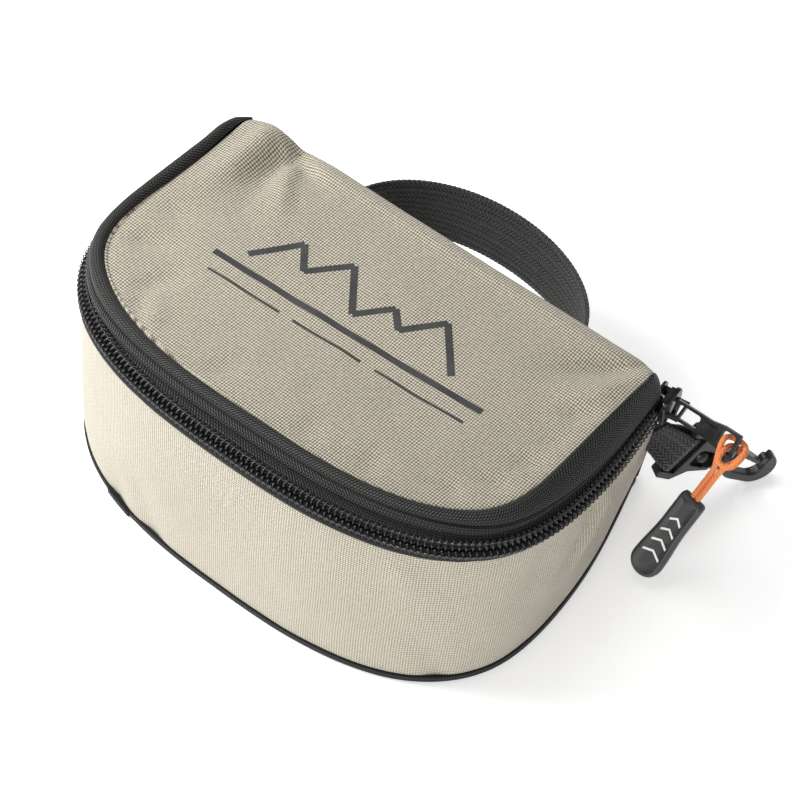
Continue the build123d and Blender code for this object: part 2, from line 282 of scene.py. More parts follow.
def settled_lid():
    """The shape that a slightly slack sheet takes when it is held round the lid's edge."""
    xs = np.arange(-100, 100.1, SHEET_SPACING)
    ys = np.arange(-48, 72.1, SHEET_SPACING)
    field = np.zeros((len(ys), len(xs)))
    gx, gy = np.meshgrid(xs, ys)
    edge = RINGS["lid"][:, :2] - LID_CENTRE
    turn = np.unwrap(np.arctan2(edge[:, 1], edge[:, 0]))
    order = np.argsort(turn)
    reach = np.linalg.norm(edge, axis=1)[order]
    angle = np.arctan2(gy - LID_CENTRE[1], gx)
    limit = np.interp(angle, turn[order], reach, period=2 * math.pi)
    inside = np.hypot(gx - LID_CENTRE[0], gy - LID_CENTRE[1]) / limit
    verts = np.column_stack([gx.ravel(), gy.ravel(), waves(3, gx, gy, 60).ravel() * 0.25]) * MM
    mesh = bpy.data.meshes.new("settling")
    mesh.from_pydata(verts.tolist(), [], grid_faces(len(ys), len(xs)))
    sheet = new_object("settling", mesh)
    held = sheet.vertex_groups.new(name="held")
    held.add([int(i) for i in np.flatnonzero(inside.ravel() > 0.95)], 1.0, "REPLACE")
    cloth = sheet.modifiers.new("cloth", "CLOTH")
    cloth.settings.vertex_group_mass = "held"
    cloth.settings.quality = 8
    cloth.settings.mass = 0.2
    cloth.settings.tension_stiffness = 20
    cloth.settings.compression_stiffness = 20
    cloth.settings.bending_stiffness = 0.8
    cloth.settings.shrink_min = -0.006
    cloth.settings.effector_weights.gravity = 0.5
    cloth.point_cache.frame_end = MOMENTS
    for moment in range(1, MOMENTS + 1):
        bpy.context.scene.frame_set(moment)
    heights = np.array([v.co for v in evaluated(sheet).data.vertices])[:, 2] / MM
    field = heights.reshape(gx.shape)
    bpy.context.scene.frame_set(1)
    bpy.data.objects.remove(sheet)
    field *= SAG_LIMIT / max(np.abs(field).max(), SAG_LIMIT)

    def lookup(x, y):
        fx = np.clip((x - xs[0]) / SHEET_SPACING, 0, len(xs) - 1.001)
        fy = np.clip((y - ys[0]) / SHEET_SPACING, 0, len(ys) - 1.001)
        i, j = fx.astype(int), fy.astype(int)
        u, v = fx - i, fy - j
        return ((1 - u) * (1 - v) * field[j, i] + u * (1 - v) * field[j, i + 1]
                + (1 - u) * v * field[j + 1, i] + u * v * field[j + 1, i + 1])

    return lookup


# ---------------------------------------------------------------- materials


class Graph:
    """A material made of nodes, with short calls for the ones used here."""

    def __init__(self, name, **constants):
        self.material = bpy.data.materials.new(name)
        self.material.use_nodes = True
        self.tree = self.material.node_tree
        self.shader = self.tree.nodes["Principled BSDF"]
        for key, value in constants.items():
            self.put(self.shader.inputs[key.replace("_", " ")], value)

    def put(self, socket, value):
        if isinstance(value, bpy.types.NodeSocket):
            self.tree.links.new(value, socket)
        else:
            socket.default_value = value

    def add(self, kind, inputs=None, **settings):
        node = self.tree.nodes.new(kind)
        for key, value in settings.items():
            setattr(node, key, value)
        for key, value in (inputs or {}).items():
            self.put(node.inputs[key], value)
        return node

    def math(self, operation, *values, clamp=False):
        node = self.add("ShaderNodeMath", operation=operation, use_clamp=clamp)
        for i, value in enumerate(values):
            self.put(node.inputs[i], value)
        return node.outputs[0]

    def mix(self, factor, a, b):
        node = self.add("ShaderNodeMix", data_type="RGBA")
        self.put(node.inputs[0], factor)
        self.put(node.inputs[6], a)
        self.put(node.inputs[7], b)
        return node.outputs[2]

    def ramp(self, value, low, high, out_low=0.0, out_high=1.0):
        node = self.add("ShaderNodeMapRange", {"From Min": low, "From Max": high, "To Min": out_low,
                                               "To Max": out_high, "Value": value})
        return node.outputs[0]

    def noise(self, vector, scale, detail=2.0):
        node = self.add("ShaderNodeTexNoise", {"Vector": vector, "Scale": scale, "Detail": detail})
        return node.outputs[0]

    def cloth(self):
        """Metres along and across the piece, as two values and a vector."""
        vector = self.add("ShaderNodeAttribute", attribute_name="cloth").outputs["Vector"]
        parts = self.add("ShaderNodeSeparateXYZ", {"Vector": vector})
        return parts.outputs[0], parts.outputs[1], vector

    def place(self):
        return self.add("ShaderNodeTexCoord").outputs["Object"]

    def bump(self, height, distance, strength=1.0, normal=None):
        node = self.add("ShaderNodeBump", {"Height": height, "Distance": distance, "Strength": strength})
        if normal is not None:
            self.put(node.inputs["Normal"], normal)
        return node.outputs[0]

    def finish(self, colour=None, roughness=None, normal=None):
        if colour is not None:
            self.put(self.shader.inputs["Base Color"], colour)
        if roughness is not None:
            self.put(self.shader.inputs["Roughness"], roughness)
        if normal is not None:
            self.put(self.shader.inputs["Normal"], normal)
        return self.material


def wave_of(g, value, pitch):
    """sin of pi times the value over the pitch, given in metres."""
    return g.math("SINE", g.math("MULTIPLY_ADD", value, math.pi / pitch, 0.0))


def scaled(colour, factor, more=0.0):
    """A colour made darker or lighter."""
    return [min(1.0, c * factor + more) for c in colour[:3]] + [1.0]


def plain_weave(g, u, v, pitch_u, pitch_v):
    """Heights of a plain weave's threads, from 0 in the gaps to 1 on the crowns, and which are on top."""
    su, sv = wave_of(g, u, pitch_u), wave_of(g, v, pitch_v)
    both = g.math("MULTIPLY", su, sv)
    warp = g.math("MULTIPLY", g.math("ADD", g.math("ABSOLUTE", su), both), 0.5)
    weft = g.math("MULTIPLY", g.math("SUBTRACT", g.math("ABSOLUTE", sv), both), 0.5)
    return g.math("MAXIMUM", warp, weft), g.math("GREATER_THAN", warp, weft)


def canvas(name, light, dark, pitch, gap=0.55):
    """Coarse woven polyester: pale threads with darker gaps between them."""
    g = Graph(name, Roughness=0.86, Sheen_Weight=0.25, Sheen_Roughness=0.5, Specular_IOR_Level=0.25)
    u, v, vector = g.cloth()
    drift = g.noise(vector, 40.0, 3.0)
    uu = g.math("MULTIPLY_ADD", drift, 0.0012, u)
    height, top = plain_weave(g, uu, v, pitch, pitch * 1.06)
    threads = g.noise(vector, 700.0, 2.0)
    patches = g.noise(vector, 22.0, 3.0)
    value = g.math("MULTIPLY_ADD", threads, 0.35, height)
    factor = g.ramp(value, 0.42, 0.42 + gap)
    tint = g.mix(g.ramp(patches, 0.3, 0.7), light, scaled(light, 0.93))
    tint = g.mix(g.math("MULTIPLY", top, 0.16), tint, scaled(light, 0.72))
    colour = g.mix(factor, dark, tint)
    rough = g.ramp(height, 0.0, 1.0, 0.95, 0.78)
    coarse = g.bump(patches, 0.0006, 0.35)
    return g.finish(colour, rough, g.bump(value, 0.00035, 0.85, coarse))


def with_fibres(g, vector, height, scale, share, shades, colours, roughness, depth, strength):
    """Adds fine fibres to the height of a weave, and takes colour, roughness and bump from both."""
    total = g.math("MULTIPLY_ADD", g.noise(vector, scale, 2.0), share, height)
    colour = g.mix(g.ramp(total, *shades), *colours)
    return g.finish(colour, g.ramp(total, *roughness), g.bump(total, depth, strength))


def twill(name, light, dark, pitch, stripe, rough=0.6):
    """Black woven tape with short slanted threads in a herringbone."""
    g = Graph(name, Roughness=rough, Sheen_Weight=0.03, Specular_IOR_Level=0.28)
    u, v, vector = g.cloth()
    slant = g.math("MULTIPLY", g.math("SIGN", wave_of(g, v, stripe)), v)
    value = wave_of(g, g.math("ADD", u, slant), pitch)
    cross = g.math("ABSOLUTE", wave_of(g, v, pitch * 0.8))
    height = g.math("MULTIPLY", g.math("ABSOLUTE", value), g.math("MULTIPLY_ADD", cross, 0.5, 0.5))
    return with_fibres(g, vector, height, 1500.0, 0.5, (0.72, 1.36), (dark, light),
                       (0.2, 1.3, rough + 0.2, rough - 0.16), 0.0003, 0.8)


def nylon(name, colour, rough):
    """Drawn nylon: smooth, with faint fine grain."""
    g = Graph(name, Roughness=rough, Specular_IOR_Level=0.55)
    place = g.place()
    fine = g.noise(place, 900.0, 3.0)
    broad = g.noise(place, 120.0, 2.0)
    tint = g.mix(g.ramp(broad, 0.3, 0.7), colour, scaled(colour, 1.6, 0.003))
    return g.finish(tint, g.ramp(fine, 0.3, 0.7, rough - 0.08, rough + 0.14), g.bump(fine, 0.00008, 0.35))


def moulded(name, colour, rough, grain):
    """Moulded plastic or enamelled metal: fine grain, rubbed brighter in places."""
    g = Graph(name, Roughness=rough, Specular_IOR_Level=0.5)
    place = g.place()
    fine = g.noise(place, 1400.0, 3.0)
    broad = g.noise(place, 160.0, 3.0)
    tint = g.mix(g.ramp(broad, 0.35, 0.7), colour, scaled(colour, 1.8, 0.004))
    return g.finish(tint, g.ramp(broad, 0.25, 0.75, rough - 0.1, rough + 0.12), g.bump(fine, 0.00006, grain))


def braid(name, light, dark):
    """Braided polyester cord: slanted bundles crossing each other round the cord."""
    g = Graph(name, Roughness=0.62, Sheen_Weight=0.2, Specular_IOR_Level=0.35)
    u, v, vector = g.cloth()
    pitch = 0.00085
    one = wave_of(g, g.math("ADD", u, v), pitch)
    two = wave_of(g, g.math("SUBTRACT", u, v), pitch)
    bundles = g.math("MAXIMUM", g.math("ABSOLUTE", one), g.math("ABSOLUTE", two))
    height = g.math("MULTIPLY", bundles, g.math("MULTIPLY_ADD", one, 0.15, 0.85))
    return with_fibres(g, vector, height, 2200.0, 0.3, (0.45, 1.05), (dark, light),
                       (0.4, 1.1, 0.8, 0.5), 0.00018, 0.8)


def webbing_weave(name, light, dark, pitch):
    """Woven nylon webbing: rows of slanted floats that change side at every rib."""
    g = Graph(name, Roughness=0.5, Sheen_Weight=0.1, Specular_IOR_Level=0.45)
    u, v, vector = g.cloth()
    rib = wave_of(g, v, pitch * 1.6)
    slant = g.math("MULTIPLY", g.math("SIGN", rib), v)
    floats = g.math("ABSOLUTE", wave_of(g, g.math("MULTIPLY_ADD", slant, 0.9, u), pitch))
    height = g.math("MULTIPLY", floats, g.math("MULTIPLY_ADD", g.math("ABSOLUTE", rib), 0.6, 0.4))
    return with_fibres(g, vector, height, 1300.0, 0.35, (0.3, 1.15), (dark, light),
                       (0.2, 1.2, 0.72, 0.36), 0.00045, 0.9)


def grey(value):
    return (value, value, value, 1)


BEIGE = (0.64, 0.59, 0.48, 1.0)
BEIGE_GAP = (0.085, 0.07, 0.045, 1.0)
WALL = (0.66, 0.61, 0.50, 1.0)
WALL_GAP = (0.24, 0.21, 0.155, 1.0)
MATERIALS = dict(
    lid_canvas=canvas("lid_canvas", BEIGE, BEIGE_GAP, 0.00105),
    wall_canvas=canvas("wall_canvas", WALL, WALL_GAP, 0.00100),
    ridge=twill("ridge_twill", (0.095, 0.097, 0.090, 1), grey(0.0008), 0.0013, 0.0040),
    tape=twill("tape_twill", (0.020, 0.021, 0.019, 1), grey(0.0015), 0.0010, 0.003, 0.7),
    binding=twill("binding_tape", (0.013, 0.0135, 0.013, 1), grey(0.001), 0.0010, 0.0025, 0.65),
    lining=canvas("lining_cloth", (0.055, 0.056, 0.06, 1), (0.012, 0.012, 0.014, 1), 0.0007),
    underside=canvas("underside_cloth", (0.05, 0.05, 0.055, 1), (0.01, 0.01, 0.011, 1), 0.0011),
    coil=nylon("coil_nylon", (0.012, 0.013, 0.012, 1), 0.24),
    webbing=webbing_weave("webbing_nylon", (0.05, 0.052, 0.056, 1), grey(0.003), 0.0016),
    slider=moulded("slider_enamel", grey(0.006), 0.26, 0.15),
    puller=moulded("puller_enamel", grey(0.007), 0.24, 0.12),
    hook=moulded("hook_plastic", (0.012, 0.012, 0.0115, 1), 0.36, 0.3),
    cord=braid("orange_braid", (0.95, 0.30, 0.085, 1), (0.50, 0.10, 0.02, 1)),
    rubber=moulded("tag_rubber", (0.024, 0.026, 0.025, 1), 0.5, 0.5),
    marks=moulded("white_marks", (0.78, 0.78, 0.77, 1), 0.55, 0.2),
    thread=braid("black_thread", (0.05, 0.05, 0.055, 1), (0.01, 0.01, 0.01, 1)),
    ink=nylon("printed_ink", grey(0.022), 0.6),
)

# ---------------------------------------------------------------- mesh making


def finish_mesh(name, verts, faces, cloth, material, smooth_faces=True):
    """A mesh object from points in millimetres, with its weave coordinates."""
    mesh = bpy.data.meshes.new(name)
    mesh.from_pydata((np.asarray(verts, float) * MM).tolist(), [], faces)
    layer = mesh.attributes.new("cloth", "FLOAT_VECTOR", "POINT")
    flat = np.zeros((len(verts), 3), np.float32)
    flat[:, :2] = np.asarray(cloth, float) * MM
    layer.data.foreach_set("vector", flat.ravel())
    mesh.polygons.foreach_set("use_smooth", [smooth_faces] * len(faces))
    mesh.materials.append(MATERIALS[material])
    mesh.validate()
    obj = new_object(name, mesh)
    return obj


def thicken(obj, thickness):
    """Gives a cloth its thickness, on the side away from its normals, and applies it to the mesh."""
    solid = obj.modifiers.new("thickness", "SOLIDIFY")
    solid.thickness = thickness * MM
    solid.offset = -1.0
    solid.use_even_offset = False
    bpy.context.view_layer.update()
    sheet = obj.data
    mesh = bpy.data.meshes.new_from_object(evaluated(obj))
    obj.modifiers.clear()
    obj.data = mesh
    bpy.data.meshes.remove(sheet)


CASE_MIDDLE = np.array([0.0, 0.012, 0.035])     # metres


def thicken_outer(obj, thickness):
    """Turns a cloth's normals outward from the case and gives it a thickness inward."""
    centres = np.array([p.center for p in obj.data.polygons])
    normals = np.array([p.normal for p in obj.data.polygons])
    if np.einsum("ij,ij->i", centres - CASE_MIDDLE, normals).sum() < 0:
        obj.data.flip_normals()
    thicken(obj, thickness)


def rows_mesh(name, rows, cloth, material, slot, closed=True, columns=slice(None), middle=False):
    """A sheet through rows of points; middle closes the first row with a fan."""
    rows = [row[columns] for row in rows]
    cloth = [marks[columns] for marks in cloth]
    wide = len(rows[0])
    faces = grid_faces(len(rows), wide, closed)
    verts, flat = np.vstack(rows), np.vstack(cloth)
    if middle:
        verts = np.vstack([verts, rows[0].mean(axis=0)])
        flat = np.vstack([flat, cloth[0].mean(axis=0)])
        faces += [(len(verts) - 1, (i + 1) % wide, i) for i in range(wide)]
    return finish_mesh(name, verts, faces, flat, material)


def spread(centre, edge, shares, height):
    """Rows that widen from a centre to an edge, with their cloth marks; height gives each row's z."""
    cloth = [centre + share * (edge[:, :2] - centre) for share in shares]
    rows = [np.column_stack([flat, height(*flat.T, share)]) for flat, share in zip(cloth, shares)]
    return rows, cloth


def transported(path):
    """Two sets of unit normals that don't twist along a path."""
    tangents = unit(np.gradient(path, axis=0))
    normals = [unit(np.cross(tangents[0], [0.3, 0.2, 0.93]))]
    for t in tangents[1:]:
        normals.append(unit(normals[-1] - t * np.dot(normals[-1], t)))
    return np.array(normals), np.cross(tangents, normals)


def swept(name, path, across, normal, section, material, slot, closed=False, ends=None):
    """A section of (across, normal) points carried along a path; ends scales it at each station."""
    section = np.asarray(section, float)
    if section.ndim == 2:
        section = np.broadcast_to(section, (len(path),) + section.shape)
    if ends is not None:
        section = section * np.asarray(ends)[:, None, None]
    stations, count = section.shape[:2]
    verts = path[:, None, :] + across[:, None, :] * section[:, :, :1] + normal[:, None, :] * section[:, :, 1:]
    edge = section[stations // 2]
    girth = run_length(np.vstack([edge, edge[:1]]))[:-1]
    cloth = np.stack(np.broadcast_arrays(run_length(path)[:, None], girth[None, :]), axis=-1)
    faces = []
    for j in range(stations if closed else stations - 1):
        k = (j + 1) % stations
        for i in range(count):
            m = (i + 1) % count
            faces.append((j * count + i, j * count + m, k * count + m, k * count + i))
    if not closed:
        faces.append(tuple(reversed(range(count))))
        faces.append(tuple((stations - 1) * count + i for i in range(count)))
    return finish_mesh(name, verts.reshape(-1, 3), faces, cloth.reshape(-1, 2), material)


def band_section(half_width, half_thick, per_side=8):
    """A flat band with rounded edges."""
    across = np.linspace(-half_width, half_width, per_side + 1)
    side = [(x, half_thick) for x in across] + [(half_width + half_thick * 0.6, 0.0)]
    return np.array(side + [(-x, -z) for x, z in side])


def round_section(a, b, count):
    turn = np.arange(count) * 2 * math.pi / count
    return np.column_stack([a * np.cos(turn), b * np.sin(turn)])


def wire(name, path, half_across, half_through, sides, material, slot):
    """An oval wire or thread along a path."""
    section = round_section(half_across, half_through, sides)
    return swept(name, path, *transported(path), section, material, slot)


# ---------------------------------------------------------------- camera and cord first


def make_camera():
    """The photograph's viewpoint: high, from the front and a little to the right."""
    data = bpy.data.cameras.new("camera")
    data.lens, data.sensor_width = 126.0, 36.0      # a long lens about 1.07 m away
    data.shift_x, data.shift_y = -0.065, -0.054
    data.clip_end = 20.0
    camera = new_object("camera", data)
    toward = Vector((0.3691, -0.4574, 0.8090)).normalized()
    camera.location = Vector((0, 0.064, 0)) + toward * 1.0687
    camera.rotation_euler = toward.to_track_quat("Z", "Y").to_euler()
    bpy.context.scene.camera = camera


# The puller stands out to the right from its pivot, and the cord hangs from its tip to the tag.
PULLER_PIVOT = np.array([102.1, 63.0, 58.4])
PULLER_ACROSS = unit(np.array([0, -0.63, -0.777]))
PULLER_LENGTH = 25.5
TAG_DIRECTION = unit(np.array([-0.2115, -0.4985, -0.841]))
TAG_ACROSS = unit(np.array([1.0, 0, 0]) - TAG_DIRECTION * TAG_DIRECTION[0])
TAG_OUT = np.cross(TAG_DIRECTION, TAG_ACROSS)
TAG_OFF = 27.0                  # from the puller's tip to the cord's mouth in the tag
TAG_LENGTH, TAG_TOP, TAG_BULB, TAG_THICK = 39.0, 10.2, 12.6, 4.4
CORD_DIAMETER = 2.1
TIP = PULLER_PIVOT + np.array([PULLER_LENGTH, 0, 0])


# The knot's points from the puller's tip: along the puller, across it and out of its face.
KNOT = (
    (0.2, 7.9, -0.2), (3.7, 3.8, 2.7), (2.9, 1.3, -2.9), (-2.6, 1.2, -2.9),
    (-2.4, 2.4, 3.4), (-2.2, 6.4, 5.4), (2.8, 7.2, 5.0), (5.2, 1.8, 3.4),
    (3.2, -1.5, -2.9), (-4.3, -1.3, -2.9), (-4.6, -0.9, 2.8), (-3.6, 6.6, 2.0),
)


def cord_route():
    """The route in CAD: out of the tag, up one strand, round the knot and down the other strand."""
    front = np.cross(PULLER_ACROSS, [1.0, 0, 0])
    knot = [TIP + np.array([x, 0, 0]) + PULLER_ACROSS * down + front * out for x, down, out in KNOT]
    strand = TAG_ACROSS * CORD_DIAMETER * 0.49
    up = [(TAG_OFF - 0.2, 1.0), (17.5, 1.0), (12.0, 1.1)]
    first = [TIP + TAG_DIRECTION * down + strand * apart for down, apart in up]
    second = [TIP + TAG_DIRECTION * down - strand * apart for down, apart in reversed(up)]
    return first + knot + second


def spline_points(points, resolution):
    """Points along the smooth line that a NURBS spline makes of a route."""
    data = bpy.data.curves.new("route", "CURVE")
    data.dimensions = "3D"
    data.resolution_u = resolution
    line = data.splines.new("NURBS")
    line.points.add(len(points) - 1)
    for point, p in zip(line.points, points):
        point.co = (*(np.array(p) * MM), 1.0)
    line.order_u = 3
    line.use_endpoint_u = True
    obj = new_object("route", data)
    bpy.context.view_layer.update()
    mesh = bpy.data.meshes.new_from_object(evaluated(obj))
    out = np.array([v.co for v in mesh.vertices]) / MM
    bpy.data.objects.remove(obj)
    bpy.data.meshes.remove(mesh)
    keep = np.concatenate([[True], np.linalg.norm(np.diff(out, axis=0), axis=1) > 1e-3])
    return out[keep]


def make_cord():
    """The doubled orange cord, hitched on the puller's tip and moulded into the tag."""
    route = cord_route()
    path = spline_points(route, 14)
    normals, sides = transported(path)
    sectors = 20
    turn = np.arange(sectors) * 2 * math.pi / sectors
    lay = run_length(path)[:, None] * 1.85      # radians of the bundles' turn along the cord
    ripple = 0.05 * (np.abs(np.sin(lay + turn * 3)) + np.abs(np.sin(lay - turn * 3)))
    radius = CORD_DIAMETER / 2 - 0.07 + ripple
    section = np.stack([np.cos(turn) * radius, np.sin(turn) * radius], axis=-1)
    cord = swept("pull_cord_braid", path, normals, sides, section, "cord", "orange_cord")
    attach(cord, "pull_tag")
    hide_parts("pull_cord")


def tag_outline(count):
    """Half of the tag's outline and its mirror: a long neck that swells into a rounded end."""
    neck, bulb = TAG_TOP / 2, TAG_BULB / 2
    centre = TAG_LENGTH - bulb
    points = [(0.0, neck - 1.6), (0.25, neck - 0.6), (1.2, neck - 0.05)]
    for x in np.linspace(3.0, centre - 0.5, count):
        points.append((x, neck + (bulb - neck) * smooth(x, TAG_LENGTH * 0.35, centre)))
    for turn in np.linspace(90, 0, count // 2)[:-1]:
        points.append((centre + bulb * math.cos(math.radians(turn)), bulb * math.sin(math.radians(turn))))
    points.append((TAG_LENGTH, 0.0))
    return np.array(points + [(x, -y) for x, y in reversed(points[:-1])])


CHEVRONS = 4


def tag_point(x, y, z):
    """A point of the tag: along it from the cord's mouth, across it and out of its middle plane."""
    return TIP + TAG_DIRECTION * (TAG_OFF + x) + TAG_ACROSS * y + TAG_OUT * z


def make_tag():
    """The moulded rubber tag: a rounded edge, and a shallow panel with raised generic chevrons."""
    outline = tag_outline(16)
    count = len(outline)
    around = along(outline)
    inward = np.column_stack([around[:, 1], -around[:, 0]])
    half = TAG_THICK / 2
    levels = [(-half, 4.2), (-half, 1.5), (-half + 0.25, 0.6), (-half + 0.9, 0.08), (0.0, 0.0),
              (half - 0.9, 0.08), (half - 0.25, 0.6), (half, 1.2), (half, 1.7), (half - 0.3, 2.0),
              (half - 0.3, 4.2)]
    middle = np.column_stack([np.clip(outline[:, 0], 5, TAG_LENGTH - 6), np.zeros(count)])
    verts, cloth = [], []
    for z, inset in levels:
        ring = outline + inward * inset
        if inset > 4:
            ring = middle + (outline - middle) * 0.3
        for x, y in ring:
            verts.append(tag_point(x, y, z))
            cloth.append((x, y))
    faces = [tuple(reversed(f)) for f in grid_faces(len(levels), count, True)]
    faces.append(tuple(range(count)))
    faces.append(tuple((len(levels) - 1) * count + i for i in reversed(range(count))))
    tag = finish_mesh("tag_body", verts, faces, cloth, "rubber")
    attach(tag, "pull_tag")
    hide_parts("rubber_tag")
    verts, faces, cloth = [], [], []
    for k in range(CHEVRONS):
        x = 9.5 + 5.6 * k
        reach = 2.5 + 0.45 * k
        for sign in (-1, 1):
            stroke = [(x, 0.0), (x + 1.0, 0.0), (x + 3.0, sign * reach), (x + 2.0, sign * reach)]
            if sign < 0:
                stroke.reverse()
            first = len(verts)
            for lift in (half - 0.35, half - 0.14):
                for px, py in stroke:
                    verts.append(tag_point(px, py, lift))
                    cloth.append((px, py))
            faces.append(tuple(first + 4 + i for i in range(4)))
            faces.append(tuple(first + i for i in (3, 2, 1, 0)))
            for i in range(4):
                j = (i + 1) % 4
                faces.append((first + i, first + j, first + 4 + j, first + 4 + i))
    marks = finish_mesh("tag_bars", verts, faces, cloth, "marks", False)
    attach(marks, "pull_tag")


# ---------------------------------------------------------------- the lid


def lid_lift(x, y, settle):
    """How far the lid's cloth stands over its flat plane, in millimetres."""
    # The middle of the lid sinks towards its rear and its front.
    lift = settle(x, y)
    across = 1 - np.clip(np.abs(x) / 92, 0, 1) ** 2
    lift = lift - 2.2 * across * smooth(y, 20, 66) - 0.8 * across * (1 - smooth(np.abs(y - 12), 10, 52))
    lift = folded(lift, x, y, LID_FOLDS)
    # The left rear corner is creased from packing: a dip, with a hump outside it.
    dip = np.exp(-(((x + 66) / 7.0) ** 2 + ((y - 61) / 6.0) ** 2))
    hump = np.exp(-(((x + 83) / 7.0) ** 2 + ((y - 58) / 9.0) ** 2))
    lift = lift - 2.6 * dip + 1.4 * hump
    return lift + 0.25 * waves(11, x, y, 34) + 0.12 * waves(12, x, y, 12)


# How far the lid's cloth stands out past the CAD's edge; the left side hangs out further.
LEFT = smooth(COLUMN, 100, 122) * (1 - smooth(COLUMN, SIDE_END - 26, SIDE_END - 6))
EDGE_OVERHANG = (0.6 + 1.5 * LEFT) * (1 - REAR)


def make_lid_cover(settle):
    """Beige cloth over the lid, rolled over the spine edge and down to the hinge."""
    ring = RINGS["lid"]
    side = outward(ring)
    radius = 1.5 + 3.6 * REAR                   # of the edge's roll, larger over the spine
    shelf = ring - side * (radius - EDGE_OVERHANG)[:, None]
    rows, cloth = [], []

    def lay(points, marks, weight):
        lifted = points.copy()
        lifted[:, 2] += lid_lift(points[:, 0], points[:, 1], settle) * weight
        rows.append(lifted)
        cloth.append(marks)

    edge_height = ring[:, 2] + PANEL
    for k in np.linspace(0.03, 1.0, 34) ** 0.8:
        flat = LID_CENTRE + k * (shelf[:, :2] - LID_CENTRE)
        edge = smooth(k, 0.9, 1.0)
        points = np.column_stack([flat, plane_height(LID, flat[:, 1]) + PANEL])
        lay(points, flat, 1.0 - (0.35 + 0.6 * (1 - REAR)) * edge)
    for turn in (15, 32, 50, 68, 90):
        out = radius * math.sin(math.radians(turn))
        drop = radius * (1 - math.cos(math.radians(turn)))
        flat = shelf[:, :2] + side[:, :2] * out[:, None]
        points = np.column_stack([flat, edge_height - drop])
        marks = shelf[:, :2] + side[:, :2] * (radius * math.radians(turn))[:, None]
        lay(points, marks, (0.05 + 0.6 * REAR) * (1 - turn / 90 * 0.45))
    # The cloth's drop from the roll, in shares of the lid's slope: short at the band, long at the spine.
    first = (radius - PANEL) / LID_DEPTH
    last = first + 0.035 + REAR * (1 - 1.7 / LID_DEPTH - first - 0.035)
    for part in np.linspace(0.15, 1.0, 9):
        t = 1 - (first + (last - first) * part)
        bulge = 0.5 * REAR * math.sin(math.pi * part) + 0.25 + EDGE_OVERHANG * (1 - part)
        row = on_side("zip", "lid", t, bulge)
        row[:, 2] += lid_lift(ring[:, 0], ring[:, 1], settle) * (0.02 + 0.33 * REAR) * (1 - part)
        rows.append(row)
        reach = radius * math.pi / 2 + (last - first) * part * LID_DEPTH
        cloth.append(shelf[:, :2] + side[:, :2] * reach[:, None])
    cover = rows_mesh("lid_cover", rows, cloth, "lid_canvas", "beige_canvas", middle=True)
    thicken_outer(cover, 0.8)
    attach(cover, "lid")
    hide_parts("lid_panel", "lid_rear_panel")
    return cover


GUSSET_COLUMNS = np.arange(SIDE_START - 5, SIDE_END + 4)
# How far the zip's middle line sits up the slope from the CAD's line, away from the slider.
ZIP_LIFT = 2.0 * smooth(COLUMN - SIDE_START, 16, 50) * (1 - smooth(COLUMN, SIDE_END - 18, SIDE_END))
COIL_REACH = 3.5                # from the zip's line up to the second ridge
RIDGE, SECOND_RIDGE = 2.35, 1.95        # radii of the two ridges
RIDGE_OUT, RIDGE_RISE = 2.0, 0.95       # the first ridge's centre from the lid's edge


def band_frame():
    """For each column: the lid's edge, the zip's line, and the directions down the slope and off it."""
    edge, foot = RINGS["lid"], RINGS["zip"]
    slope = unit(foot - edge)
    normal = unit(np.cross(along(foot), slope))
    normal *= np.sign(np.einsum("ij,ij->i", normal, outward(edge)))[:, None]
    return edge, foot - slope * ZIP_LIFT[:, None], slope, normal


def band_mesh(name, rows, material, thickness):
    """The cloth through the rows of a band, marked with the distance round the case and down the band."""
    steps = np.linalg.norm(np.diff(rows, axis=0), axis=2)
    reach = np.vstack([np.zeros(COLUMNS), np.cumsum(steps, axis=0)])
    cloth = [np.column_stack([GIRTH, down]) for down in reach]
    band = rows_mesh(name, rows, cloth, material, "black_twill", False, GUSSET_COLUMNS)
    thicken_outer(band, thickness)
    return band


